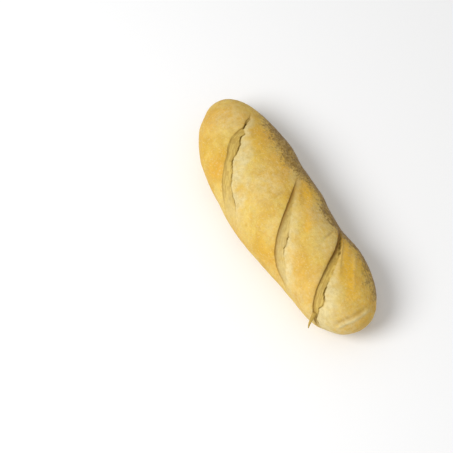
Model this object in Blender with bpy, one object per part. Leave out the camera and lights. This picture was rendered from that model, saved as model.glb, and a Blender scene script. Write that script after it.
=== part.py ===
"""A short baguette with three slanting slashes, lying on its flat underside.

+X runs along the loaf and +Z is up. The origin is on the surface that the loaf lies on, below the
middle of the loaf. Lengths are in millimetres here and become metres as they reach the mesh.

A place on the crust has two numbers: x along the loaf, and girth, the distance over the crust
from the top line, which is positive on the +Y side.
"""

import math
from typing import NamedTuple

import bmesh
import bpy
import numpy as np

MM = 0.001

# The body: a superellipse from above, and two superellipse halves in section
LENGTH = 219.6
WIDTH = 73.9
HEIGHT = 52.0
WAIST = 22.0  # height of the widest line
TIP_RISE = 2.0  # the two tips sit this much above the waist
SAG = 4.5  # the round belly would hang this far below the tray, which presses it flat
BEND = 4.2  # the middle stands this far towards -Y of the line between the tips
SKEW = 0.094  # share of y by which the twisted dough slid along X, as the slashes slant
OUTLINE_POWER = 3.1  # how long the sides stay parallel
TIP_POWER = 2.1  # how blunt the tips are
CROWN_POWER = 2.15
BELLY_POWER = 2.5

# Both sides draw in where the dough stretched between two cuts, on a line slanted as they are
PINCH = 0.133
PINCH_X = 35.7
PINCH_REACH = 35.0
PINCH_SLANT = 0.294

# The slashes: what the dough does on either side of a cut
EAR_HEIGHT = 1.7  # the lifted rim of the old crust
EAR_REACH = 9.0
FOOT_DEPTH = 2.6  # below the rim, where the cut opened
RIM_WIDTH = 2.4  # the rim falls to its foot over this distance
BLOOM_HEIGHT = 1.3  # the new crust that swelled out of the cut
VALLEY_DEPTH = 1.5  # the loaf is drawn in along the whole cut
VALLEY_REACH = 11.0
END_BLUNTNESS = 0.8  # under 1 opens a cut quickly at both ends

# The fold that the moulded dough keeps across the top of one tip
FOLD_X = 103.0
FOLD_REACH = 2.5
FOLD_GIRTH_REACH = 18.0
FOLD_BLUNTNESS = 4  # a high power ends the fold at its reach, a low one lets it fade
FOLD_HEIGHT = 0.9

# The mesh
RINGS = 96
SECTORS = 48
RING_LEAN = 29.0  # the rings slant over the top as the slashes do, up to this far along X
OUTLINE_SAMPLES = 4000
SHARP_ANGLE = 50.0  # degrees between faces, over which the edge shows

CRUST_COLOUR = (0.76, 0.49, 0.15, 1.0)
CRUST_ROUGHNESS = 0.62


class Slash(NamedTuple):
    """One cut, as a lens between its rim on the -X side and its far edge on the +X side."""

    start: tuple[float, float]  # (x, girth)
    end: tuple[float, float]
    rim_bow: float  # how far each side stands off the straight line from start to end
    far_bow: float
    skew: float  # over 1 puts the widest place nearer the end


SLASHES = (
    Slash(start=(-78.0, 18.0), end=(-27.0, -55.0), rim_bow=-6.5, far_bow=21.0, skew=1.25),
    Slash(start=(-12.0, 21.5), end=(51.0, -42.0), rim_bow=-8.0, far_bow=13.0, skew=1.1),
    Slash(start=(38.5, 31.0), end=(84.0, -43.0), rim_bow=0.0, far_bow=20.5, skew=1.2),
)


def signed_power(value, power):
    return np.sign(value) * np.abs(value) ** power


def taper(x):
    """Share of the full section that the loaf has at x, from 1 in the middle to 0 at the tips."""
    share = np.clip(np.abs(2 * x / LENGTH), 0, 1)
    return (1 - share**OUTLINE_POWER) ** (1 / TIP_POWER)


def pinch(x, y):
    """Share of the width that is left after the sides draw in."""
    place = (x + PINCH_SLANT * y - PINCH_X) / PINCH_REACH
    return 1 - PINCH * np.exp(-(place**2))


def body_points(x, angle):
    """Points of the smooth body. The angle is measured in section from the top, towards +Y."""
    size = taper(x)
    sine, cosine = np.sin(angle), np.cos(angle)
    crown = cosine > 0
    power = 2 / np.where(crown, CROWN_POWER, BELLY_POWER)
    rise = np.where(crown, HEIGHT - WAIST, WAIST + SAG)
    y = size * WIDTH / 2 * signed_power(sine, power)
    y = y * pinch(x, y) - BEND * (1 - (2 * x / LENGTH) ** 2)
    z = WAIST + TIP_RISE * (1 - size) + size * rise * signed_power(cosine, power)
    return np.stack(np.broadcast_arrays(x - SKEW * y, y, z), axis=-1)


def even_steps(points, values, count):
    """The values at count + 1 places that divide the line through the points evenly."""
    lengths = np.linalg.norm(np.diff(points, axis=0), axis=1)
    run = np.concatenate([[0], np.cumsum(lengths)])
    return np.interp(np.linspace(0, run[-1], count + 1), run, values), run


def ring_places():
    """The x at which each ring crosses the top line, even along the outline seen from above."""
    x = -LENGTH / 2 * np.cos(np.linspace(0, math.pi, OUTLINE_SAMPLES))
    outline = body_points(x, np.full_like(x, math.pi / 2))
    return even_steps(outline, x, RINGS)[0]


def sector_angles():
    """Angles evenly spaced over half the middle section, and the girth at each."""
    angles = np.linspace(0, math.pi, OUTLINE_SAMPLES)
    section = body_points(np.zeros_like(angles), angles)
    steps, run = even_steps(section, angles, SECTORS // 2)
    return steps, np.interp(steps, angles, run)


def smooth_step(value):
    value = np.clip(value, 0, 1)
    return value * value * (3 - 2 * value)


def slash_relief(slash, x, girth):
    """How far one slash moves the crust outwards, in millimetres."""
    start, end = np.array(slash.start), np.array(slash.end)
    length = np.linalg.norm(end - start)
    along_x, along_girth = (end - start) / length
    run = ((x - start[0]) * along_x + (girth - start[1]) * along_girth) / length
    across = -(x - start[0]) * along_girth + (girth - start[1]) * along_x
    opening = np.sin(math.pi * np.clip(run, 0, 1) ** slash.skew) ** END_BLUNTNESS
    rim, far = slash.rim_bow * opening, slash.far_bow * opening
    place = np.clip((across - rim) / np.maximum(far - rim, RIM_WIDTH), 0, 1)

    past_rim = smooth_step((across - rim) / RIM_WIDTH)
    ear = EAR_HEIGHT * np.exp(-(((across - rim) / EAR_REACH) ** 2)) * (1 - past_rim)
    foot = -FOOT_DEPTH * (1 - place) ** 2 * past_rim
    bloom = BLOOM_HEIGHT * np.sin(math.pi * place) ** 2
    valley = -VALLEY_DEPTH * np.exp(-(((across - (rim + far) / 2) / VALLEY_REACH) ** 2))
    return opening * (ear + foot + bloom + valley)


def fold_relief(x, girth):
    across = (x - FOLD_X) / FOLD_REACH
    return FOLD_HEIGHT * np.exp(-(across**2) - (girth / FOLD_GIRTH_REACH) ** FOLD_BLUNTNESS)


def outward_normals(points):
    """Unit normals of a grid of points, from the directions along and round the loaf."""
    along = np.gradient(points, axis=0)
    around = np.gradient(points, axis=1)
    normals = np.cross(along, around)
    return normals / np.linalg.norm(normals, axis=-1, keepdims=True)


def crust_grid():
    """The loaf's rings of points, without the two tips, with the slashes and the fold in it."""
    half, girths = sector_angles()
    angles = np.concatenate([-half[:0:-1], half])
    girths = np.concatenate([-girths[:0:-1], girths])
    x, angle = np.meshgrid(ring_places()[1:-1], angles, indexing="ij")
    x = x - RING_LEAN * (1 - (2 * x / LENGTH) ** 2) * np.sin(angle)
    girth = girths * taper(x)
    points = body_points(x, angle)
    relief = fold_relief(x, girth) + sum(slash_relief(slash, x, girth) for slash in SLASHES)
    points += outward_normals(points) * relief[..., None]
    return points[:, :-1]


def add_crust(mesh):
    """Adds the rings, the faces between them, and a fan of faces at each tip."""
    rings = [
        [mesh.verts.new(point * MM) for point in ring]
        for ring in crust_grid()
    ]
    for ring, following in zip(rings, rings[1:]):
        for i in range(len(ring)):
            mesh.faces.new((ring[i], following[i], following[i - 1], ring[i - 1]))
    for side, ring in ((-1, rings[0]), (1, rings[-1])):
        tip = mesh.verts.new((side * LENGTH / 2 * MM, 0, (WAIST + TIP_RISE) * MM))
        for i in range(len(ring)):
            mesh.faces.new((tip, ring[i - 1], ring[i]))


def press_flat(mesh):
    """Cuts the belly off at the tray and closes the loaf with one flat face there."""
    everything = mesh.verts[:] + mesh.edges[:] + mesh.faces[:]
    cut = bmesh.ops.bisect_plane(
        mesh, geom=everything, plane_co=(0, 0, 0), plane_no=(0, 0, 1), clear_inner=True
    )
    rim = [item for item in cut["geom_cut"] if isinstance(item, bmesh.types.BMEdge)]
    bmesh.ops.contextual_create(mesh, geom=rim)


def centre_on_origin(mesh):
    """Puts the middle of the loaf's box over the origin, which the slashes moved a little."""
    for axis in (0, 1):
        places = [vert.co[axis] for vert in mesh.verts]
        middle = (min(places) + max(places)) / 2
        for vert in mesh.verts:
            vert.co[axis] -= middle


def crust_material():
    material = bpy.data.materials.new("crust")
    material.use_nodes = True
    shader = material.node_tree.nodes["Principled BSDF"]
    shader.inputs["Base Color"].default_value = CRUST_COLOUR
    shader.inputs["Roughness"].default_value = CRUST_ROUGHNESS
    shader.inputs["Metallic"].default_value = 0.0
    return material


def make_loaf():
    mesh = bmesh.new()
    add_crust(mesh)
    press_flat(mesh)
    centre_on_origin(mesh)
    bmesh.ops.recalc_face_normals(mesh, faces=mesh.faces)
    data = bpy.data.meshes.new("loaf")
    mesh.to_mesh(data)
    mesh.free()
    data.materials.append(crust_material())
    data.shade_smooth()
    data.set_sharp_from_angle(angle=math.radians(SHARP_ANGLE))
    loaf = bpy.data.objects.new("loaf", data)
    bpy.context.scene.collection.objects.link(loaf)
    return loaf


def main():
    for obj in list(bpy.data.objects):
        bpy.data.objects.remove(obj)
    make_loaf()


main()
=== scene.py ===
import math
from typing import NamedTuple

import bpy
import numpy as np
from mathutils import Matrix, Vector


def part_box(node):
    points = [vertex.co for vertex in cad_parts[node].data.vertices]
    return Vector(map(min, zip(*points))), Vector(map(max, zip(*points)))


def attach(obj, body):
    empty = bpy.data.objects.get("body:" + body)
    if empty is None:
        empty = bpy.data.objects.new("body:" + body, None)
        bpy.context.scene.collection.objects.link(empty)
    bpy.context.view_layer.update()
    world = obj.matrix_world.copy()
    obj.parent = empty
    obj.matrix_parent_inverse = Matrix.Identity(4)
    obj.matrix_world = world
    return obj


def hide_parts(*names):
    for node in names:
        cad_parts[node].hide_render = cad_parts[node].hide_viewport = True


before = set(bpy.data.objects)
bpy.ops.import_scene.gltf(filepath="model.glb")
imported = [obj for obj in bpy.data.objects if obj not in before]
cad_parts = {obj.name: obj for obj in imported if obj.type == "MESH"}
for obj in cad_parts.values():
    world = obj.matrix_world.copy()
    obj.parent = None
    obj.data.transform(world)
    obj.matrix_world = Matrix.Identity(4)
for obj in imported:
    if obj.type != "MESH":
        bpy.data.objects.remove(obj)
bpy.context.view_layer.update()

# The looks of a short, pale-baked baguette with three slanting slashes.
#
# The crust is one closed mesh, with a small sliver of torn crust joined to it. It starts from the
# same smooth body as the CAD loaf, and its rings follow the rims of the slashes, so that a rim, the
# torn band under it and the crack behind the band stay crisp. A place on the crust has two numbers:
# x along the loaf, and girth, the distance over the crust from the top line, positive on the +Y
# side. Lengths are in millimetres, and become metres as they reach Blender.

MM = 0.001

# The smooth body, whose three sizes come from the CAD loaf's box
CAD_LOW, CAD_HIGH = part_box("loaf")
CAD_LENGTH, CAD_WIDTH, CAD_HEIGHT = (CAD_HIGH - CAD_LOW) / MM
LENGTH = CAD_LENGTH - 0.2  # without what the cuts add
WIDTH = CAD_WIDTH + 0.7  # before the sides draw in
HEIGHT = CAD_HEIGHT - 0.7  # without the lifted rims
WAIST = 22.0  # height of the widest line
TIP_RISE = 2.0  # the two tips sit this much above the waist
SAG = 4.5  # the round belly would hang this far below the tray, which presses it flat
BEND = 4.2  # the middle stands this far towards -Y of the line between the tips
SKEW = 0.094  # share of y by which the twisted dough slid along X, as the slashes slant
OUTLINE_POWER = 3.1  # how long the sides stay parallel
TIP_POWER = 2.1  # how blunt the tips are
CROWN_POWER = 2.15
BELLY_POWER = 2.5
PINCH = 0.133  # share of the width by which the sides draw in, on a slanted line
PINCH_X = 35.7
PINCH_REACH = 35.0
PINCH_SLANT = 0.294
BASE_FILLET = 1.5  # round between the flat underside and the sides

# The mesh: spacing along the loaf, and round it on the top and on the underside
COARSE_RING = 0.95
FINE_RING = 0.3
FINE_REACH = 8.0
FINE_CENTRE = 4.0  # the finest rings are centred this far behind the rim
RING_LEAN = 29.0  # the rings slant over the top as the slashes do, up to this far along X
RIM_PULL_REACH = 27.0  # rings this far from a rim no longer bend with it
RIM_PULL_BLUR = 9  # columns over which a ring's bends are evened out
LEAN_ROUNDS = 40  # enough to settle where a leaning ring crosses the top line
TOP_COLUMN = 0.7
UNDER_COLUMN = 1.25
TOP_GIRTH = 66.0
SAMPLES = 4000  # points of the curves that the rings and columns are read from


class Slash(NamedTuple):
    """One cut. Every list holds (share of the way from start to end, value) points.

    rim, split and far are distances in mm from the straight line between start and end: the lifted
    rim of the old crust, the line where the torn band meets the new crust, and the new crust's edge.
    """

    start: tuple  # (x, girth)
    end: tuple
    rim: tuple
    split: tuple
    far: tuple
    opening: tuple  # how open the cut is, 0 to 1
    lift: tuple  # how high the rim stands, 0 to 1
    painted_shade: tuple  # how much painted shade darkens the cut right under the rim, 0 to 1
    wide_shade: tuple  # how far a wider, olive painted shade spreads into the cut, 0 to 1
    crack: tuple  # how deep the crack at the split is, and how much painted shade lies in it, 0 to 1
    pale: tuple  # how pale the new crust stayed, 0 to 1
    torn: tuple  # how much the torn band's colour and grain show, 0 to 1


SLASHES = (
    Slash(
        start=(-76.8, 14.7),
        end=(-33.2, -45.5),
        rim=((0, -0.1), (0.06, -1.1), (0.15, -1.0), (0.2, -3.2), (0.25, -4.7), (0.31, -6),
             (0.38, -5.8), (0.49, -4.1), (0.64, -2.6), (0.84, -0.9), (1, 1.2), (1.2, 2.7)),
        split=((0, 0.9), (0.12, 0.2), (0.17, 0.6), (0.22, 3.2), (0.26, 1.9), (0.32, 2.4),
               (0.43, 3.8), (0.47, 2.2), (0.51, 2.3), (0.61, 5.1), (0.72, 6.7), (0.82, 9.5),
               (0.96, 15), (1.15, 18)),
        far=((-0.05, 5.3), (0.14, 10.1), (0.37, 15.7), (0.58, 20.7), (0.77, 23.5), (1, 24.5)),
        opening=((-0.08, 0), (0, 0.6), (0.1, 1), (0.85, 1), (1.02, 0.6), (1.2, 0)),
        lift=((0, 0.6), (0.12, 0.55), (0.2, 0.2), (0.5, 0.16), (0.7, 0.12), (1, 0.1)),
        painted_shade=((0, 0.5), (0.12, 0.5), (0.22, 0.2), (0.5, 0.22), (0.75, 0.2), (1, 0.2)),
        wide_shade=((0, 0.1), (1, 0.15)),
        crack=((-0.02, 0), (0.02, 0.9), (0.14, 1), (0.18, 0.1), (0.23, 1), (0.44, 1), (0.48, 0.8),
               (0.56, 0.6), (0.62, 0.35), (0.74, 0.9), (0.83, 0.5), (0.92, 1), (0.98, 0.3),
               (1.02, 0)),
        pale=((-0.1, 0.5), (0.2, 0.9), (0.9, 1), (1.1, 0.5)),
        torn=((0, 1), (1, 0.8)),
    ),
    Slash(
        start=(-8.8, 18.1),
        end=(48.8, -44.0),
        rim=((0, 0), (0.12, -1), (0.21, -2), (0.38, -4), (0.53, -5.9), (0.75, -7.4), (0.88, -6.5),
             (1, -2.7)),
        split=((0, 1.1), (0.2, 1.9), (0.35, 2.6), (0.5, 3.1), (0.6, 2.5), (0.66, 0.6), (0.7, 0.4),
               (0.75, 1.6), (1, 0.9)),
        far=((0, 6.5), (0.1, 8), (0.2, 10), (0.34, 11.5), (0.55, 14), (0.79, 14), (1, 10)),
        opening=((-0.1, 0), (0, 0.5), (0.12, 0.9), (0.4, 1), (0.85, 0.9), (1, 0.5), (1.12, 0)),
        lift=((0, 0.35), (0.3, 0.42), (0.6, 0.3), (0.85, 0.25), (1, 0.25)),
        painted_shade=((-0.05, 0.6), (0.1, 1.3), (0.35, 1.1), (0.5, 0.7), (0.75, 0.65), (1, 0.6)),
        wide_shade=((-0.08, 0.4), (0.08, 0.55), (0.25, 0.7), (0.45, 1), (0.7, 0.5), (1, 0.3)),
        crack=((0.46, 0), (0.52, 0.6), (0.6, 0.9), (0.64, 0.7), (0.69, 1), (0.74, 0)),
        pale=((-0.1, 0.1), (0.2, 0.5), (0.5, 0.8), (0.7, 1), (0.9, 1), (1.05, 0.6)),
        torn=((0, 0.9), (0.3, 0.7), (0.6, 0.6), (1, 0.5)),
    ),
    Slash(
        start=(41.3, 29.6),
        end=(81.6, -34.2),
        rim=((0, 0), (0.3, 0.8), (0.49, -0.5), (0.79, -1.8), (1, -1.3)),
        split=((-0.05, 2.4), (0.1, 3.2), (0.27, 5.5), (0.49, 6.8), (0.65, 5.5), (0.77, 5.9),
               (0.83, 7.3), (0.91, 4.5), (1, 2.2)),
        far=((0, 4.1), (0.35, 9.2), (0.49, 13.1), (0.67, 19), (0.85, 21.1), (1, 21.2)),
        opening=((-0.12, 0), (-0.03, 0.6), (0.08, 1), (0.9, 1), (1.05, 0.9), (1.2, 0)),
        lift=((-0.1, 0.1), (0.05, 0.4), (0.2, 0.85), (0.35, 0.85), (0.6, 0.6), (0.8, 0.5), (1, 0.6)),
        painted_shade=((-0.1, 1.6), (0.1, 1.8), (0.3, 1.3), (0.5, 0.7), (0.8, 0.6), (1.1, 0.8)),
        wide_shade=((-0.1, 1), (0.2, 1), (0.4, 0.6), (0.6, 0.25), (1, 0.2)),
        crack=((-0.04, 0), (0.02, 0.7), (0.26, 0.8), (0.36, 0), (0.6, 0), (0.66, 0.6), (0.8, 0.9),
               (0.85, 0.5), (0.9, 0.9), (0.95, 1), (1.05, 0.9), (1.1, 0)),
        pale=((0.1, 0), (0.35, 0.25), (0.5, 0.6), (0.7, 0.95), (1.1, 0.95)),
        torn=((0, 1), (1, 1)),
    ),
)

# A cut's profile at full size, as (distance past the rim, value): height, and slide over the crust
EAR_LIFT = ((-16, 0), (-10, 0.3), (-6, 0.75), (-3, 1.1), (-1.4, 1.15), (-0.5, 0.8), (0.1, 0.2),
            (0.5, -0.2))
EAR_SLIDE = ((-3, 0), (-1.2, 0.15), (-0.4, 0.45), (0, 0.55), (0.35, 0.3), (0.8, -0.2), (1.4, -0.3),
             (2.4, 0))
RIM_DROP = 1.3  # the rim falls to its foot over this distance
# Height inside the cut, where 0 is the rim, 1 the split, 2 the far edge and 3 is FAR_BLEND past it
CUT_LEVEL = ((0, -1.5), (0.5, -1.15), (0.95, -0.6), (1.05, -0.3), (1.3, 0.5), (1.6, 0.9), (2, 0.5),
             (3, 0))
FLAT_CUT = 0.25  # share of that height which a cut with no lifted rim still has
FAR_BLEND = 8.0
CRACK_DEPTH = 1.1
CRACK_HALF_WIDTH = 0.85
CRACK_DASH = 2.4  # the crack is broken into dashes of about this length
NARROWEST_BAND = 0.8
NARROWEST_BLOOM = 1.5
RIM_JAG = 0.25  # how much of the split's jagged line the rim has
TEAR_JAG = ((3.1, 0.55), (1.2, 0.3))  # (length, how far the split strays to either side)
STREAK_SIZE = (3.5, 0.8)  # of the torn band's streaks, along it and across it
STREAK_HEIGHT = 0.1
VALLEY_DEPTH = 1.6  # the loaf is drawn in along the whole cut
VALLEY_REACH = 13.0
VALLEY_ENDS = ((-0.35, 0), (0, 1), (0.9, 1), (1.35, 0))  # it runs on past both ends of a cut

# Lumps of the whole crust, and how the edges of its flanks wander: (size, height, noise seed)
LUMPS = ((30, 0.7, 44), (9, 0.25, 45), (3, 0.08, 46))
EDGE_WANDER = ((14, 2, 40), (5, 3, 41), (2.2, 2.5, 48))

# The rough flank on the +Y side, browner and darker partly as painted shade of the side away from
# the light, starts at this girth: (x, girth)
FLANK_EDGE = ((-108, 44), (-90, 34), (-75, 25), (-57, 16), (-28, 14), (-18, 15), (-4, 21), (12, 23),
              (24, 20), (34, 19), (41, 20), (55, 25), (68, 24), (84, 17), (97, 9), (108, 0))
FLANK_ENDS = ((-109, 0), (-78, 1), (92, 1), (108, 0))  # (x, how much of it shows)
# Fades, as (the girth where it starts, over how much girth)
FLANK_FADE = (-6, 24)  # counted from the flank's edge
FAR_SIDE_FADE = (55, 14)  # a trace of the same roughness low on the -Y side
FAR_SIDE_SHARE = 0.35
BROWN_AND_SHADE_FADE = (25, 18)  # counted as if the section were full size
LOWER_FADE = (42, 24)  # so is this one, past which the flank and its brown thin out
FLANK_THINNING = 0.65
BROWN_AND_SHADE_THINNING = 0.85
PIT_DEPTH = 0.45
GRAIN_DEPTH = 0.15

# Places where the sides sank in, or swelled at a negative depth: (x, girth, reach, depth)
DENTS = ((-24, 44, 9, 1.5), (8, 40, 12, -1.9), (28, 38, 9, -0.7), (60, 33, 14, -0.6),
         (-105, -16, 11, 1.2), (99, 24, 9, 0.8), (-20, -57, 14, -0.8), (-62, 38, 20, 0.8),
         (-75, -42, 12, -0.4))

# Where the crust took more colour, or kept its flour: (x, girth, reach, strength)
TOAST_PATCHES = (
    (-94.3, -12.9, 9, 0.9), (-55.5, 16.0, 7, 1), (-54.9, -28.6, 7, 1), (-77.2, 9.0, 5, 0.8),
    (-20.7, 11.6, 8, 0.4), (-2.0, 23.8, 6, 0.9), (20.6, 9.3, 6, 0.8), (40.7, -11.5, 8, 0.4),
    (67.0, -25.8, 9, 0.8), (54, -23, 7, 0.6), (62.7, 18.7, 7, 0.7), (73.6, 8.4, 6, 0.6),
    (96.7, 3.1, 9, 0.6), (99.0, 13.6, 8, 0.9), (-98.0, -1.8, 6, 0.5), (2.3, -45.7, 10, 0.2),
    (32, -36, 8, 1), (-53.9, 13.5, 5, 1), (-19.2, 16.4, 4.5, 1), (84.4, 12.2, 5, 0.9),
    (-81.3, 8.9, 5, 0.5), (-89, -1, 8, 0.7), (-31, 12, 6, 0.6),
)
FLOUR_PATCHES = (
    (-83.9, 0.4, 8, 0.8), (-39.5, 20.8, 7, 0.4), (-18.5, -3.1, 9, 0.8), (-14.9, -10.0, 8, 0.6),
    (26.8, 20.1, 8, 0.9), (47.5, 9.5, 7, 0.7), (86.6, -32.9, 12, 0.9), (-22.8, -41.2, 12, 0.5),
    (53.4, -39.0, 10, 0.5), (101, -20, 10, 1), (94, -26, 11, 1), (-14, 20, 6, 0.5),
    # (101.8, -13.7) lies on the fold's ridge and paints a highlight there, not flour
    (36, 12, 6, 0.5), (101.8, -13.7, 6, 1), (39, -20, 6, 0.3), (66, -37, 7, 0.6),
    (63, -12, 6, 0.4), (12, -16, 6, 0.4),
)
PATCH_SPREAD = 1.6  # a patch fades out over this many times its reach
PATCH_WANDER = 3.0

# Strips of deep gold beside the last two slashes: (x, girth) places on the way, and half width
GOLD_STRIPS = (
    (((-4.7, 25.2), (8.9, 19.7), (21.3, 10.5), (30, 3)), 3.6),
    (((47, 26), (60.4, 18.8), (69.8, 13), (79.9, 7.2), (90, 0.8)), 4.0),
)

# The fold across the +X tip, from one end to the other: (girth, x)
FOLD = ((-24, 98.5), (-19.6, 99.7), (-13.4, 101.2), (-6.9, 103), (0, 103.8), (6.8, 103.3))
FOLD_GIRTH = -7.0  # of its middle
FOLD_HALF_GIRTH = 14.5
FOLD_HEIGHT = 1.0
FOLD_GROOVE = 0.45  # depth of the groove on its -X side

# Ridges, and creases at a negative height: (start, end, height, reach), both ends as (x, girth)
CREASES = (
    ((62, 28), (76, 13), 0.45, 1.3),
    ((74, 15), (90, 2), 0.4, 1.3),
    ((-5.3, 5), (-5.5, -6), -0.45, 0.8),
    ((41, 23), (43.5, 8), -0.6, 0.8),
)

# A sliver of torn crust at the lower end of the last slash
SLIVER_ROOT = (81.2, -32.5)  # (x, girth)
SLIVER_REACH = (6.0, -8.0, -4.2)  # from its root to its point
SLIVER_WIDTH = 3.2
SLIVER_DEPTH = 1.4
SLIVER_BOW = 0.8
SLIVER_BURIED = 0.15  # share of its length that is inside the crust
SLIVER_POINT = 0.15  # share of its width that is left at its point
SLIVER_RINGS = 12
SLIVER_SIDES = 10
# The sliver takes the torn band's colour and some of the wider painted shade
SLIVER_FINISH = {"torn": 0.8, "wide_shade": 0.6}
CRUST_SHARE = 0.97  # of the texture's width; the sliver has the rest

# What can show on the crust: the torn band, the pale new crust (the same pale also paints a
# highlight on the fold's ridge), painted shade in the crack, painted shade right under a rim and a
# wider olive painted shade that spreads from it (both also in the fold's groove, the first in the
# creases too), toasted patches, strips of honey gold, flour, the rough flank and its deeper brown
# (which are partly painted shade of the side away from the light), the baked base, the torn band's
# streaks and the flank's pits. Each becomes an attribute of the mesh, which the material reads.
FINISHES = ("torn", "pale", "crack_shade", "painted_shade", "wide_shade", "toast", "honey", "flour", "flank", "brown_and_shade",
            "base", "streak", "pits")
UNDERSIDE_TOP = 3.0  # the underside's finish starts at this height, and is full UNDERSIDE_FADE lower
UNDERSIDE_FADE = 4.0


# ---------------------------------------------------------------- numbers and noise

def signed_power(value, power):
    return np.sign(value) * np.abs(value) ** power


def smooth_step(value):
    value = np.clip(value, 0, 1)
    return value * value * (3 - 2 * value)


def bump_at(distance, reach, power=2):
    """1 where the distance is 0, falling smoothly to nothing past the reach."""
    return np.exp(-((distance / reach) ** power))


def through(points, at):
    """A smooth curve through a few (place, value) points, level past both ends."""
    places, values = np.array(points, float).T
    slopes = np.gradient(values, places)
    at = np.clip(at, places[0], places[-1])
    i = np.clip(np.searchsorted(places, at) - 1, 0, len(places) - 2)
    span = places[i + 1] - places[i]
    t = (at - places[i]) / span
    ends = values[i] * (1 + 2 * t) * (1 - t) ** 2 + values[i + 1] * t * t * (3 - 2 * t)
    return ends + span * (slopes[i] * t * (1 - t) ** 2 - slopes[i + 1] * t * t * (1 - t))


def corner_value(cell, seed):
    """A repeatable number from -1 to 1 for each corner of a lattice."""
    mix = cell[0] * 374761393 + cell[1] * 668265263 + cell[2] * 1103515245 + seed * 974634777
    mix = (mix ^ (mix >> 13)) * 1274126177
    mix = mix ^ (mix >> 16)
    return (mix & 0xFFFFFF) / 0x7FFFFF - 1


def noise(points, size, seed):
    """Smooth noise from -1 to 1 whose lumps are about size across."""
    scaled = np.moveaxis(np.asarray(points, float) / size, -1, 0)
    cell = np.floor(scaled).astype(np.int64)
    part = scaled - cell
    part = part**3 * (part * (part * 6 - 15) + 10)
    total = 0
    for corner in np.ndindex(2, 2, 2):
        step = np.array(corner).reshape(3, *[1] * (cell.ndim - 1))
        weight = np.prod(np.where(step, part, 1 - part), axis=0)
        total = total + weight * corner_value(cell + step, seed)
    return total


def layered(points, layers):
    """A sum of noises, each given as (size, height, seed)."""
    return sum(height * noise(points, size, seed) for size, height, seed in layers)


def flat(first, second=0.0):
    """Points for noise over one or two measures."""
    return np.stack(np.broadcast_arrays(first, second, 0 * first), axis=-1)


# ---------------------------------------------------------------- the smooth body

def taper(x):
    share = np.clip(np.abs(2 * x / LENGTH), 0, 1)
    return (1 - share**OUTLINE_POWER) ** (1 / TIP_POWER)


def body_points(x, angle):
    """The CAD loaf's smooth body. The angle is measured in section from the top, towards +Y."""
    size = taper(x)
    sine, cosine = np.sin(angle), np.cos(angle)
    crown = cosine > 0
    power = 2 / np.where(crown, CROWN_POWER, BELLY_POWER)
    rise = np.where(crown, HEIGHT - WAIST, WAIST + SAG)
    y = size * WIDTH / 2 * signed_power(sine, power)
    pinch = 1 - PINCH * bump_at(x + PINCH_SLANT * y - PINCH_X, PINCH_REACH)
    y = y * pinch - BEND * (1 - (2 * x / LENGTH) ** 2)
    z = WAIST + TIP_RISE * (1 - size) + size * rise * signed_power(cosine, power)
    return np.stack(np.broadcast_arrays(x - SKEW * y, y, z), axis=-1)


def girth_table():
    """Angles from the top to the bottom of the middle section, and the girth at each."""
    angles = np.linspace(0, math.pi, SAMPLES)
    section = body_points(np.zeros_like(angles), angles)
    steps = np.linalg.norm(np.diff(section, axis=0), axis=1)
    return angles, np.concatenate([[0], np.cumsum(steps)])


TABLE_ANGLES, TABLE_GIRTHS = girth_table()
HALF_GIRTH = TABLE_GIRTHS[-1]


def angle_at(x, girth):
    full = np.abs(girth) / np.maximum(taper(x), 1e-3)
    return np.sign(girth) * np.interp(full, TABLE_GIRTHS, TABLE_ANGLES)


def lean(x, angle):
    """How far along X a ring that crosses the top line at x has moved at this angle."""
    return -RING_LEAN * (1 - (2 * x / LENGTH) ** 2) * np.sin(angle)


# ---------------------------------------------------------------- the grid of the mesh

def chord(slash):
    """Length of the straight line from start to end, and its direction as (along x, along girth)."""
    span = np.array(slash.end) - np.array(slash.start)
    length = np.linalg.norm(span)
    return length, span / length


def on_slash(slash, share, offset):
    """x and girth of the place at this share of the way, this far off the straight line."""
    length, (along_x, along_girth) = chord(slash)
    x = slash.start[0] + share * length * along_x - offset * along_girth
    girth = slash.start[1] + share * length * along_girth + offset * along_x
    return x, girth


def from_slash(slash, x, girth):
    """The share of the way and the offset that on_slash would take to give this place."""
    length, (along_x, along_girth) = chord(slash)
    dx, dg = x - slash.start[0], girth - slash.start[1]
    return (dx * along_x + dg * along_girth) / length, dg * along_x - dx * along_girth


def rim_ring(slash, angles):
    """The x at which a ring has to cross the top line to run along this slash's rim, per column."""
    share = np.linspace(0, 1, SAMPLES)
    x, girth = on_slash(slash, share, through(slash.rim, share))
    angle = angle_at(x, girth)
    top_x = x
    for _ in range(LEAN_ROUNDS):
        top_x = x - lean(top_x, angle)
    order = np.argsort(angle)
    ring = np.interp(angles, angle[order], top_x[order])
    blur = np.hanning(RIM_PULL_BLUR) / np.hanning(RIM_PULL_BLUR).sum()
    return np.convolve(np.pad(ring, RIM_PULL_BLUR // 2, mode="wrap"), blur, mode="valid")


def column_angles():
    """Angles of the columns, from one side of the bottom line right round to the other."""
    girth = [-HALF_GIRTH]
    while girth[-1] < HALF_GIRTH:
        girth.append(girth[-1] + (TOP_COLUMN if abs(girth[-1]) < TOP_GIRTH else UNDER_COLUMN))
    girth = np.array(girth[:-1]) * HALF_GIRTH / girth[-2]
    girth = -HALF_GIRTH + (girth + HALF_GIRTH) * (2 * HALF_GIRTH) / (2 * HALF_GIRTH + UNDER_COLUMN)
    return np.sign(girth) * np.interp(np.abs(girth), TABLE_GIRTHS, TABLE_ANGLES)


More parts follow.
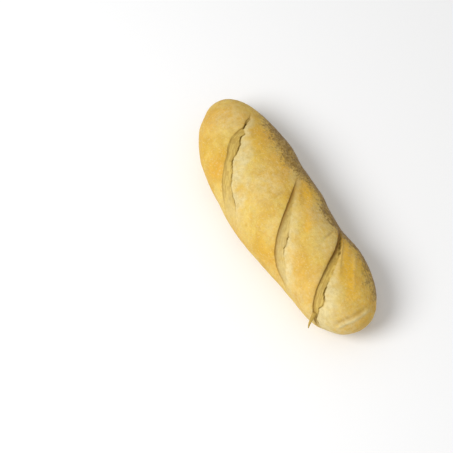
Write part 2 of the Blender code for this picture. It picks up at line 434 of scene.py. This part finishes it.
def ring_places(rims):
    """The x at which the rings cross the top line, and each one's share of the whole outline."""
    x = -LENGTH / 2 * np.cos(np.linspace(0, math.pi, SAMPLES))
    steps = np.linalg.norm(np.diff(body_points(x, np.full_like(x, math.pi / 2)), axis=0), axis=1)
    middle = (x[1:] + x[:-1]) / 2
    fine = sum(bump_at(middle - rim - FINE_CENTRE, FINE_REACH, 4) for rim in rims)
    run = np.concatenate([[0], np.cumsum(steps / (COARSE_RING + (FINE_RING - COARSE_RING) * fine))])
    outline = np.concatenate([[0], np.cumsum(steps)])
    places = np.linspace(0, run[-1], int(run[-1]) + 1)
    return np.interp(places, run, x), np.interp(places, run, outline) / outline[-1]


def crust_places():
    """x and angle of every vertex of the rings, and the UV coordinate of each ring and column."""
    angles = column_angles()
    rims = [rim_ring(slash, angles) for slash in SLASHES]
    centres = [np.median(rim) for rim in rims]
    top_x, ring_share = ring_places(centres)
    top_x = top_x[1:-1, None]
    pulled = top_x + sum(
        np.cos(np.clip((top_x - centre) / RIM_PULL_REACH, -1, 1) * math.pi / 2) ** 2 * (rim - centre)
        for rim, centre in zip(rims, centres)
    )
    angle = np.broadcast_to(angles, pulled.shape)
    girths = np.sign(angles) * np.interp(np.abs(angles), TABLE_ANGLES, TABLE_GIRTHS)
    return pulled + lean(pulled, angle), angle, ring_share, (girths / HALF_GIRTH + 1) / 2


# ---------------------------------------------------------------- what the baking did to the crust

class Relief:
    """Height and slide of every vertex, in mm, and how strongly each finish shows there."""

    def __init__(self, x, angle):
        self.x, self.angle = x, angle
        self.girth = np.sign(angle) * np.interp(np.abs(angle), TABLE_ANGLES, TABLE_GIRTHS) * taper(x)
        self.body = body_points(x, angle)
        self.lift = np.zeros_like(x)
        self.slide = np.zeros_like(self.body)
        self.finish = {name: np.zeros_like(x) for name in FINISHES}

    def show(self, name, amount):
        self.finish[name] = np.maximum(self.finish[name], np.clip(amount, 0, 1))


def jag(run, seed):
    """How far a tear strays to either side of its line, in mm, at each distance along it."""
    return sum(far * noise(flat(run), size, seed + i) for i, (size, far) in enumerate(TEAR_JAG))


class Cut:
    """Where every vertex lies in one slash, and what the slash is like at that share of its way."""

    def __init__(self, relief, slash, seed):
        self.share, offset = from_slash(slash, relief.x, relief.girth)
        self.run = self.share * chord(slash)[0]
        rim = self.of(slash.rim)
        # The vertex, the split and the new crust's edge, each as a distance in mm past the rim
        self.past = offset - rim - RIM_JAG * jag(self.run, seed + 10)
        self.split = np.maximum(self.of(slash.split) - rim, NARROWEST_BAND) + jag(self.run, seed)
        self.far = np.maximum(self.of(slash.far) - rim, self.split + NARROWEST_BLOOM)
        self.opening, self.high = self.of(slash.opening), self.of(slash.lift)
        self.torn = self.of(slash.torn)
        self.grain = noise(flat(self.run / STREAK_SIZE[0], self.past / STREAK_SIZE[1]), 1, seed + 2)
        self.band = smooth_step(self.past / 0.6) * (1 - smooth_step((self.past - self.split + 0.2) / 0.7))
        dashes = smooth_step(noise(flat(self.run), CRACK_DASH, seed + 5) + 0.6)
        self.crack = self.of(slash.crack) * (0.5 + 0.5 * dashes)
        self.gap = np.clip(1 - np.abs(self.past - self.split) / CRACK_HALF_WIDTH, 0, 1)

    def of(self, values):
        return through(values, self.share)

    def stage(self):
        """0 at the rim, 1 at the split, 2 at the far edge and 3 at FAR_BLEND past it."""
        in_bloom = 1 + (self.past - self.split) / (self.far - self.split)
        stage = np.where(self.past < self.split, self.past / self.split, in_bloom)
        return np.where(self.past < self.far, stage, 2 + (self.past - self.far) / FAR_BLEND)


def across_slash(relief, slash):
    """The direction over the crust that leads from a slash's rim to its far edge, at every vertex."""
    nearby = 0.5
    _, (along_x, along_girth) = chord(slash)
    x = relief.x - nearby * along_girth
    across = body_points(x, angle_at(x, relief.girth + nearby * along_x)) - relief.body
    return across / np.maximum(np.linalg.norm(across, axis=-1, keepdims=True), 1e-6)


def shape_cut(relief, slash, cut):
    """The lifted rim, the drop to its foot, the torn band and its crack, and the swollen new crust."""
    in_cut = smooth_step(cut.past / RIM_DROP)
    level = through(CUT_LEVEL, cut.stage()) * (FLAT_CUT + (1 - FLAT_CUT) * cut.high)
    lift = (1 - in_cut) * cut.high * through(EAR_LIFT, cut.past) + in_cut * level
    lift += STREAK_HEIGHT * cut.torn * cut.grain * cut.band - CRACK_DEPTH * cut.crack * cut.gap
    valley = cut.of(VALLEY_ENDS) * bump_at(cut.past - cut.far / 2, VALLEY_REACH)
    relief.lift += cut.opening * lift - VALLEY_DEPTH * valley
    slide = cut.opening * cut.high * through(EAR_SLIDE, cut.past)
    relief.slide += across_slash(relief, slash) * slide[..., None]


def finish_cut(relief, slash, cut, seed):
    """The pale new crust, the torn band, painted shade in the crack, and two painted shades under the
    rim: a narrow brown one and a wider olive one.
    """
    body = relief.body
    wander = 1 + 0.3 * noise(body, 9, seed + 3) + 0.2 * noise(body, 3.5, seed + 4)
    bloom = smooth_step(cut.past / 1.5) * (1 - smooth_step((cut.stage() - 1.2 * wander) / 0.9))
    relief.show("pale", np.clip(cut.opening * 1.4, 0, 1) * bloom * cut.of(slash.pale))
    relief.show("torn", cut.opening * cut.band * cut.torn)
    # Painted shade in the crack
    relief.show("crack_shade", cut.opening * cut.crack * smooth_step(cut.gap * 1.4))
    relief.finish["streak"] += cut.opening * cut.band * cut.grain
    # Painted shade under the rim: a narrow brown one, and a wider olive one that spreads into the cut
    under_rim = cut.opening * smooth_step(cut.past / 0.5 + 0.4)
    painted_shade = cut.of(slash.painted_shade)
    relief.show("painted_shade", under_rim * painted_shade * bump_at(np.maximum(cut.past - 0.4, 0), 0.6 + 1.1 * painted_shade))
    spread = 4.2 + noise(body, 3, seed + 6)
    relief.show("wide_shade", under_rim * cut.of(slash.wide_shade) * bump_at(cut.past, spread))


def add_slash(relief, slash, seed):
    cut = Cut(relief, slash, seed)
    shape_cut(relief, slash, cut)
    finish_cut(relief, slash, cut, seed)


def add_lumps(relief):
    """The lumps of the whole crust, and the dents in its sides."""
    relief.lift += layered(relief.body, LUMPS)
    for x, girth, reach, depth in DENTS:
        relief.lift -= depth * bump_at(np.hypot(relief.x - x, relief.girth - girth), reach)


def add_flanks(relief):
    """The rough flank on the +Y side, browner partly as painted shade of the side away from the light,
    and a trace of it low on the other side.
    """
    body = relief.body
    edge = layered(body, EDGE_WANDER)

    def past(girth, fade):
        return smooth_step((girth - fade[0] + edge) / fade[1])

    full_girth = relief.girth / np.maximum(taper(relief.x), 0.3)
    lower = past(full_girth, LOWER_FADE)
    flank = past(relief.girth - through(FLANK_EDGE, relief.x), FLANK_FADE)
    flank += FAR_SIDE_SHARE * past(-relief.girth, FAR_SIDE_FADE)
    flank *= smooth_step(np.interp(relief.x + 1.5 * edge, *zip(*FLANK_ENDS)))
    flank *= 1 - FLANK_THINNING * lower
    pits = smooth_step((noise(body, 2.6, 42) - 0.25) / 0.4) * (noise(body, 7, 43) * 0.5 + 0.6)
    relief.lift -= flank * (PIT_DEPTH * pits + GRAIN_DEPTH * noise(body, 1.8, 47))
    relief.show("flank", flank)
    relief.finish["pits"] = flank * pits
    # Deeper brown towards the +Y edge, partly painted shade of the side away from the light
    relief.show("brown_and_shade", past(full_girth, BROWN_AND_SHADE_FADE) * flank * (1 - BROWN_AND_SHADE_THINNING * lower))


def add_patches(relief):
    wander = PATCH_WANDER * noise(relief.body, 8, 50)
    for name, patches in (("toast", TOAST_PATCHES), ("flour", FLOUR_PATCHES)):
        for x, girth, reach, strength in patches:
            distance = np.hypot(relief.x - x, relief.girth - girth) + wander
            relief.show(name, strength * bump_at(np.maximum(distance, 0), PATCH_SPREAD * reach))


def add_strips(relief):
    wander = 1.2 * noise(relief.body, 6, 51)
    for places, half_width in GOLD_STRIPS:
        distance = np.full_like(relief.x, np.inf)
        for start, end in zip(places, places[1:]):
            span = np.array(end) - np.array(start)
            dx, dg = relief.x - start[0], relief.girth - start[1]
            along = np.clip((dx * span[0] + dg * span[1]) / (span @ span), 0, 1)
            distance = np.minimum(distance, np.hypot(dx - along * span[0], dg - along * span[1]))
        relief.show("honey", bump_at(distance + wander, half_width, 4))


def add_fold(relief):
    """The fold near the +X tip: a ridge with a painted highlight, a groove with painted shade on one
    side, deep gold on the other.
    """
    ridge = relief.x - through(FOLD, relief.girth)
    over_top = bump_at(relief.girth - FOLD_GIRTH, FOLD_HALF_GIRTH, 6)
    height = FOLD_HEIGHT * bump_at(ridge, 1.0) - FOLD_GROOVE * bump_at(ridge + 2.2, 1.2)
    relief.lift += over_top * height
    # A painted highlight on the ridge, and painted shade in the groove
    relief.show("pale", over_top * bump_at(ridge, 1.2))
    relief.show("painted_shade", 0.15 * over_top * bump_at(ridge + 1.9, 0.8))
    relief.show("wide_shade", 0.4 * over_top * bump_at(ridge + 2.4, 1.4))
    relief.show("honey", 0.7 * over_top * bump_at(ridge - 2.4, 1.2))


def add_creases(relief):
    """Two faint floured ridges beside the last slash, and two short creases with painted shade in them.
    """
    for start, end, height, reach in CREASES:
        span = np.array(end) - np.array(start)
        dx, dg = relief.x - start[0], relief.girth - start[1]
        run = (dx * span[0] + dg * span[1]) / (span @ span)
        off = (dx * span[1] - dg * span[0]) / np.linalg.norm(span)
        on = smooth_step(run / 0.3) * smooth_step((1 - run) / 0.3) * bump_at(off, reach)
        relief.lift += height * on
        # A crease gets painted shade, a ridge flour
        relief.show("flour" if height > 0 else "painted_shade", abs(height) * 0.6 * on)


def rest_on_tray(points):
    """Presses the belly flat at the tray, with a small round where it meets the sides."""
    z = points[..., 2]
    fillet = (z + BASE_FILLET) ** 2 / (4 * BASE_FILLET)
    points[..., 2] = np.where(z > BASE_FILLET, z, np.where(z < -BASE_FILLET, 0, fillet))
    return points


def outward(points):
    along = np.gradient(points, axis=0)
    wrapped = np.concatenate([points[:, -1:], points, points[:, :1]], axis=1)
    around = (wrapped[:, 2:] - wrapped[:, :-2]) / 2
    normals = np.cross(along, around)
    return normals / np.linalg.norm(normals, axis=-1, keepdims=True)


def crust_points():
    """Every ring's points, the relief with its finishes, the UV of rings and columns, and the middle."""
    x, angle, ring_share, column_share = crust_places()
    relief = Relief(x, angle)
    add_lumps(relief)
    add_flanks(relief)
    add_patches(relief)
    add_strips(relief)
    for number, slash in enumerate(SLASHES):
        add_slash(relief, slash, 100 * number + 60)
    add_fold(relief)
    add_creases(relief)
    under = smooth_step((UNDERSIDE_TOP - relief.body[..., 2]) / UNDERSIDE_FADE)
    relief.lift *= 1 - under
    for name in ("flank", "brown_and_shade", "pits"):
        relief.finish[name] *= 1 - under
    relief.show("base", under)
    points = relief.body + outward(relief.body) * relief.lift[..., None] + relief.slide
    points = rest_on_tray(points)
    middle = (points.min(axis=(0, 1)) + points.max(axis=(0, 1))) / 2
    points[..., :2] -= middle[:2]
    return points * MM, relief, ring_share, column_share, middle


# ---------------------------------------------------------------- the mesh

def make_loaf():
    """The whole loaf as one object: its rings, a fan of faces at each tip, and the sliver."""
    points, relief, ring_share, column_share, middle = crust_points()
    rings, columns = points.shape[:2]
    index = np.arange(rings * columns).reshape(rings, columns)
    following = np.roll(index, -1, axis=1)
    quads = np.stack([index[:-1], index[1:], following[1:], following[:-1]], axis=-1).reshape(-1, 4)
    tips = [((side * LENGTH / 2 - middle[0]) * MM, -middle[1] * MM, (WAIST + TIP_RISE) * MM)
            for side in (-1, 1)]
    first, last = rings * columns, rings * columns + 1
    faces = quads.tolist()
    faces += [(first, index[0, i], following[0, i]) for i in range(columns)]
    faces += [(last, following[-1, i], index[-1, i]) for i in range(columns)]

    vertices = points.reshape(-1, 3).tolist() + tips
    sliver, sliver_faces = make_sliver(middle)
    faces += [[len(vertices) + i for i in face] for face in sliver_faces]

    mesh = bpy.data.meshes.new("loaf_crust")
    mesh.from_pydata(vertices + sliver, [], faces)
    layer = mesh.uv_layers.new(name="OFBake")
    uv = np.concatenate([crust_uv(ring_share[1:-1], column_share, rings, columns), sliver_uv()])
    layer.data.foreach_set("uv", uv.astype(np.float32))
    for name, values in relief.finish.items():
        attribute = mesh.attributes.new(name, "FLOAT", "POINT")
        rest = [values[0].mean(), values[-1].mean()] + [SLIVER_FINISH.get(name, 0)] * len(sliver)
        attribute.data.foreach_set("value", np.concatenate([values.ravel(), rest]).astype(np.float32))
    mesh.shade_smooth()
    mesh.materials.append(crust_material())
    mesh.validate()
    loaf = bpy.data.objects.new("loaf_crust", mesh)
    bpy.context.scene.collection.objects.link(loaf)
    return loaf


def make_sliver(middle):
    """The vertices and faces of the torn sliver, which tapers from inside the crust to its point."""
    reach = np.array(SLIVER_REACH)
    root = body_points(SLIVER_ROOT[0], angle_at(*SLIVER_ROOT)) - np.array([middle[0], middle[1], 0])
    side = np.cross(reach, (0, 0, 1))
    side /= np.linalg.norm(side)
    top = np.cross(side, reach) / np.linalg.norm(reach)
    t = np.linspace(-SLIVER_BURIED, 1, SLIVER_RINGS)[:, None, None]
    turn = np.linspace(0, 2 * math.pi, SLIVER_SIDES, endpoint=False)[None, :, None]
    size = SLIVER_POINT + (1 - SLIVER_POINT) * np.clip(1 - t, 0, 1) ** 0.7
    spine = root + reach * t + side * SLIVER_BOW * np.sin(2.4 * t)
    ring = side * np.cos(turn) * SLIVER_WIDTH / 2 + top * np.sin(turn) * SLIVER_DEPTH / 2
    points = (spine + ring * size) * MM

    index = np.arange(SLIVER_RINGS * SLIVER_SIDES).reshape(SLIVER_RINGS, SLIVER_SIDES)
    following = np.roll(index, -1, axis=1)
    faces = np.stack([index[:-1], following[:-1], following[1:], index[1:]], axis=-1)
    caps = [index[0, ::-1].tolist(), index[-1].tolist()]
    return points.reshape(-1, 3).tolist(), faces.reshape(-1, 4).tolist() + caps


def sliver_uv():
    """The sliver's unwrap, in the strip beside the crust's: its sides and its two end caps."""
    u, v = np.meshgrid(
        np.linspace(0.975, 1, SLIVER_RINGS), np.linspace(0, 0.15, SLIVER_SIDES + 1), indexing="ij"
    )
    grid = np.stack([u, v], axis=-1)
    sides = np.stack([grid[:-1, :-1], grid[:-1, 1:], grid[1:, 1:], grid[1:, :-1]], axis=2)
    turn = np.linspace(0, 2 * math.pi, SLIVER_SIDES, endpoint=False)
    cap = np.stack([0.985 + 0.006 * np.cos(turn), 0.18 + 0.006 * np.sin(turn)], axis=-1)
    return np.concatenate([sides.reshape(-1), cap[::-1].reshape(-1), (cap + (0, 0.02)).reshape(-1)])


def crust_uv(ring_share, column_share, rings, columns):
    """One unwrap of the whole crust, cut open along the bottom line, in the order of its faces."""
    ends = np.append(column_share, 1.0)
    u = np.broadcast_to(ring_share[:, None], (rings, columns + 1))
    v = np.broadcast_to(ends, (rings, columns + 1))
    grid = np.stack([u, v], axis=-1)
    quads = np.stack([grid[:-1, :-1], grid[1:, :-1], grid[1:, 1:], grid[:-1, 1:]], axis=2)
    middle = (ends[1:] + ends[:-1]) / 2
    low_tip = np.stack([np.stack([0 * middle, middle], -1), grid[0, :-1], grid[0, 1:]], axis=1)
    high_tip = np.stack([np.stack([0 * middle + 1, middle], -1), grid[-1, 1:], grid[-1, :-1]], axis=1)
    uv = np.concatenate([part.reshape(-1) for part in (quads, low_tip, high_tip)])
    uv[::2] *= CRUST_SHARE
    return uv


# ---------------------------------------------------------------- materials

def srgb(red, green, blue):
    """A colour given as a screen shows it, from 0 to 255, as Blender's linear values."""
    return tuple((c / 255) ** 2.2 for c in (red, green, blue)) + (1.0,)


class Nodes:
    """A short way to write a material's node tree."""

    def __init__(self, name):
        self.material = bpy.data.materials.new(name)
        self.material.use_nodes = True
        self.tree = self.material.node_tree
        self.shader = self.tree.nodes["Principled BSDF"]

    def new(self, kind, **settings):
        node = self.tree.nodes.new(kind)
        for key, value in settings.items():
            setattr(node, key, value)
        return node

    def put(self, socket, value):
        if isinstance(value, bpy.types.NodeSocket):
            self.tree.links.new(value, socket)
        else:
            socket.default_value = value

    def attribute(self, name):
        return self.new("ShaderNodeAttribute", attribute_name=name).outputs["Fac"]

    def place(self):
        return self.new("ShaderNodeTexCoord").outputs["Object"]

    def noise(self, size, detail, roughness, distortion=0.0):
        """Noise from 0 to 1 whose lumps are about size millimetres across."""
        node = self.new("ShaderNodeTexNoise")
        self.put(node.inputs["Vector"], self.place())
        self.put(node.inputs["Scale"], 1 / (size * MM))
        self.put(node.inputs["Detail"], detail)
        self.put(node.inputs["Roughness"], roughness)
        self.put(node.inputs["Distortion"], distortion)
        return node.outputs["Fac"]

    def math(self, operation, first, second):
        node = self.new("ShaderNodeMath", operation=operation)
        self.put(node.inputs[0], first)
        self.put(node.inputs[1], second)
        return node.outputs[0]

    def range(self, value, low, high, to_low=0.0, to_high=1.0):
        node = self.new("ShaderNodeMapRange", interpolation_type="SMOOTHSTEP")
        for socket, number in zip(node.inputs, (value, low, high, to_low, to_high)):
            self.put(socket, number)
        return node.outputs[0]

    def grain(self, size, detail, roughness, low, high):
        """Noise that is 0 below low and 1 above high."""
        return self.range(self.noise(size, detail, roughness), low, high)

    def broken(self, name, size, detail, roughness, low, high, least):
        """An attribute broken up by noise, which takes it down to the least share of itself."""
        noise = self.range(self.noise(size, detail, roughness), low, high, least, 1.0)
        return self.math("MULTIPLY", self.attribute(name), noise)

    def grey(self, value):
        node = self.new("ShaderNodeCombineColor")
        for socket in node.inputs:
            self.put(socket, value)
        return node.outputs["Color"]

    def mix(self, amount, first, second, blend="MIX"):
        node = self.new("ShaderNodeMix", data_type="RGBA", blend_type=blend)
        self.put(node.inputs["Factor"], amount)
        self.put(node.inputs["A"], first)
        self.put(node.inputs["B"], second)
        return node.outputs["Result"]

    def cover(self, colour, tone, amount, share):
        """The colour with a tone laid over it where the amount is high, up to this share."""
        return self.mix(self.math("MULTIPLY", amount, share), colour, tone)


# The colours of the crust itself, before any light
GOLD = srgb(205, 164, 61)
LIGHT_GOLD = srgb(213, 183, 92)
DEEP_GOLD = srgb(222, 171, 50)
OLIVE = srgb(182, 150, 80)
HONEY = srgb(201, 155, 58)
TOAST = srgb(208, 154, 50)
FLOUR = srgb(220, 198, 142)
PALE = srgb(217, 199, 144)
PALE_DUST = srgb(201, 182, 128)
BAND_LIGHT = srgb(202, 171, 84)
BAND_DARK = srgb(180, 146, 62)
FLANK = srgb(189, 155, 82)
FLANK_DARK = srgb(134, 101, 42)
FLANK_DUST = srgb(198, 172, 118)
# The flank's deeper brown, partly painted shade of the side away from the light
BROWN_AND_SHADE = srgb(148, 114, 58)
DARK_BROWN_AND_SHADE = srgb(104, 76, 38)
PIT = srgb(104, 78, 38)
BASE = srgb(192, 148, 78)
BASE_DARK = srgb(164, 118, 56)
# Colours of painted shade: right under a rim, spread wider into a cut, and in a crack
PAINTED_SHADE = srgb(148, 105, 34)
WIDE_SHADE = srgb(146, 120, 62)
CRACK_SHADE = srgb(122, 96, 34)


def top_colour(n):
    """Gold crust with toasted patches, strips of deep gold, flour, dust and grime."""
    colour = n.mix(n.grain(20, 2, 0.5, 0.35, 0.65), GOLD, LIGHT_GOLD)
    mottle = n.range(n.noise(4.5, 5, 0.65, 0.5), 0.45, 0.65)
    colour = n.cover(colour, HONEY, mottle, 0.55)
    colour = n.cover(colour, TOAST, n.broken("toast", 5, 4, 0.65, 0.3, 0.6, 0.3), 0.75)
    colour = n.cover(colour, DEEP_GOLD, n.broken("honey", 3, 4, 0.65, 0.3, 0.55, 0.65), 0.9)
    colour = n.cover(colour, FLOUR, n.broken("flour", 3.5, 5, 0.7, 0.35, 0.6, 0.25), 0.75)
    colour = n.cover(colour, FLOUR, n.grain(1.7, 4, 0.7, 0.5, 0.68), 0.4)
    return n.cover(colour, OLIVE, n.grain(2.4, 5, 0.75, 0.5, 0.68), 0.2)


def with_cuts(n, colour):
    """The pale new crust, which also makes the painted highlight on the fold's ridge, and the streaked
    torn band.
    """
    pale_tone = n.mix(n.grain(2.8, 4, 0.65, 0.4, 0.65), PALE, PALE_DUST)
    colour = n.cover(colour, pale_tone, n.broken("pale", 5, 4, 0.65, 0.3, 0.58, 0.5), 0.9)
    band = n.mix(n.range(n.attribute("streak"), -0.5, 0.6), BAND_DARK, BAND_LIGHT)
    return n.cover(colour, band, n.attribute("torn"), 0.85)


def with_flanks(n, colour, scatter):
    """The gritty, browner flank, partly painted shade of the side away from the light, whose edge breaks
    up into grains, and its pits.
    """
    tone = n.mix(n.grain(2.8, 6, 0.8, 0.4, 0.62), FLANK_DARK, FLANK)
    brown_and_shade_tone = n.mix(n.grain(2.2, 6, 0.8, 0.42, 0.62), DARK_BROWN_AND_SHADE, BROWN_AND_SHADE)
    # The deeper brown here is partly painted shade
    tone = n.cover(tone, brown_and_shade_tone, n.attribute("brown_and_shade"), 0.75)
    tone = n.cover(tone, FLANK_DUST, n.grain(1.9, 5, 0.8, 0.52, 0.66), 0.7)
    tone = n.cover(tone, PIT, n.grain(1.5, 4, 0.75, 0.56, 0.64), 0.6)
    patchy = n.range(n.math("ADD", n.attribute("flank"), scatter), 0.25, 0.75, 0.0, 0.95)
    patchy = n.math("MULTIPLY", patchy, n.range(n.attribute("flank"), 0.0, 0.25))
    return n.cover(n.mix(patchy, colour, tone), PIT, n.attribute("pits"), 0.35)


def with_base(n, colour, scatter):
    """The browner underside, mottled and dusted with flour."""
    tone = n.mix(n.grain(7, 5, 0.7, 0.35, 0.65), BASE, BASE_DARK)
    tone = n.cover(tone, FLOUR, n.grain(2.6, 5, 0.7, 0.5, 0.66), 0.5)
    return n.mix(n.range(n.math("ADD", n.attribute("base"), scatter), 0.3, 0.7), colour, tone)


def with_shades(n, colour):
    """Faint blotches and dark specks everywhere, then painted shade in the cuts, the fold's groove, the
    creases and the cracks.
    """
    blotches = n.range(n.noise(6, 5, 0.7), 0.33, 0.67, 0.94, 1.06)
    colour = n.mix(1.0, colour, n.grey(blotches), "MULTIPLY")
    colour = n.cover(colour, PIT, n.grain(1.1, 2, 0.5, 0.66, 0.76), 0.3)
    # Painted shade: the wider olive one, the narrow one under the rims, then the crack's
    colour = n.cover(colour, WIDE_SHADE, n.broken("wide_shade", 2.4, 4, 0.7, 0.35, 0.6, 0.55), 0.8)
    colour = n.cover(colour, PAINTED_SHADE, n.attribute("painted_shade"), 0.85)
    return n.mix(n.attribute("crack_shade"), colour, CRACK_SHADE)


def crust_material():
    n = Nodes("crust")
    scatter = n.range(n.noise(2.2, 5, 0.75), 0.3, 0.7, -0.4, 0.4)
    colour = with_cuts(n, top_colour(n))
    colour = with_flanks(n, colour, scatter)
    colour = with_base(n, colour, scatter)
    n.put(n.shader.inputs["Base Color"], with_shades(n, colour))

    dull = n.range(n.noise(3, 3, 0.6), 0.3, 0.7, 0.5, 0.7)
    rough = n.math("MAXIMUM", dull, n.math("MULTIPLY", n.attribute("flour"), 0.85))
    n.put(n.shader.inputs["Roughness"], rough)
    n.shader.inputs["Specular IOR Level"].default_value = 0.25
    n.shader.inputs["Metallic"].default_value = 0.0

    fine = n.math("ADD", n.math("MULTIPLY", n.noise(0.9, 3, 0.6), 0.5), n.noise(2.6, 4, 0.6))
    coarse = n.math("MULTIPLY", n.noise(1.5, 4, 0.7), n.attribute("flank"))
    bump = n.new("ShaderNodeBump")
    n.put(bump.inputs["Height"], n.math("ADD", fine, n.math("MULTIPLY", coarse, 2.2)))
    n.put(bump.inputs["Strength"], 0.85)
    n.put(bump.inputs["Distance"], 0.4 * MM)
    n.put(n.shader.inputs["Normal"], bump.outputs["Normal"])
    return n.material


# ---------------------------------------------------------------- floor, light and camera

# Sizes and places here are in metres
FLOOR_SIZE = 6.0
KEY_PLACE = (-0.12, -0.88, 1.03)  # the lamp points at the loaf
KEY_SIZE = 0.8
KEY_WATTS = 13.2
WORLD_STRENGTH = 0.565

# The camera looks down on the loaf from its +X, -Y side, and the loaf lies right of the middle
CAMERA_TURN = 59.2  # degrees
CAMERA_TILT = 65.0
CAMERA_DISTANCE = 1.0154
CAMERA_LENS = 105.0  # mm
LOAF_MIDDLE = (0, 0, 0.026)
# From the loaf's middle to the place that the camera looks at, across and up its view, in metres
AIM_RIGHT, AIM_UP = -0.04244, -0.01008


def add_floor():
    bpy.ops.mesh.primitive_plane_add(size=FLOOR_SIZE)
    floor = bpy.context.object
    floor.name = "floor"
    n = Nodes("floor")
    n.put(n.shader.inputs["Base Color"], (0.93, 0.93, 0.93, 1))
    n.put(n.shader.inputs["Roughness"], 0.9)
    n.shader.inputs["Specular IOR Level"].default_value = 0.1
    floor.data.materials.append(n.material)


def add_key_light():
    light = bpy.data.lights.new("key", "AREA")
    light.shape = "DISK"
    light.size = KEY_SIZE
    light.energy = KEY_WATTS
    lamp = bpy.data.objects.new("key", light)
    lamp.location = KEY_PLACE
    lamp.rotation_euler = (-Vector(KEY_PLACE)).to_track_quat("-Z", "Y").to_euler()
    bpy.context.scene.collection.objects.link(lamp)


def add_world():
    world = bpy.data.worlds.new("studio")
    bpy.context.scene.world = world
    world.use_nodes = True
    background = world.node_tree.nodes["Background"]
    background.inputs["Color"].default_value = (1, 1, 1, 1)
    background.inputs["Strength"].default_value = WORLD_STRENGTH
    bpy.context.scene.view_settings.view_transform = "Standard"


def add_camera():
    turn, tilt = math.radians(CAMERA_TURN), math.radians(CAMERA_TILT)
    back = Vector((math.sin(turn) * math.cos(tilt), -math.cos(turn) * math.cos(tilt), math.sin(tilt)))
    right = Vector((math.cos(turn), math.sin(turn), 0))
    target = Vector(LOAF_MIDDLE) + right * AIM_RIGHT + back.cross(right) * AIM_UP
    data = bpy.data.cameras.new("camera")
    data.lens = CAMERA_LENS
    camera = bpy.data.objects.new("camera", data)
    camera.location = target + back * CAMERA_DISTANCE
    camera.rotation_euler = back.to_track_quat("Z", "Y").to_euler()
    bpy.context.scene.collection.objects.link(camera)
    bpy.context.scene.camera = camera


def main():
    add_camera()
    add_floor()
    add_key_light()
    add_world()
    loaf = make_loaf()
    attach(loaf, "root")
    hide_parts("loaf")


main()
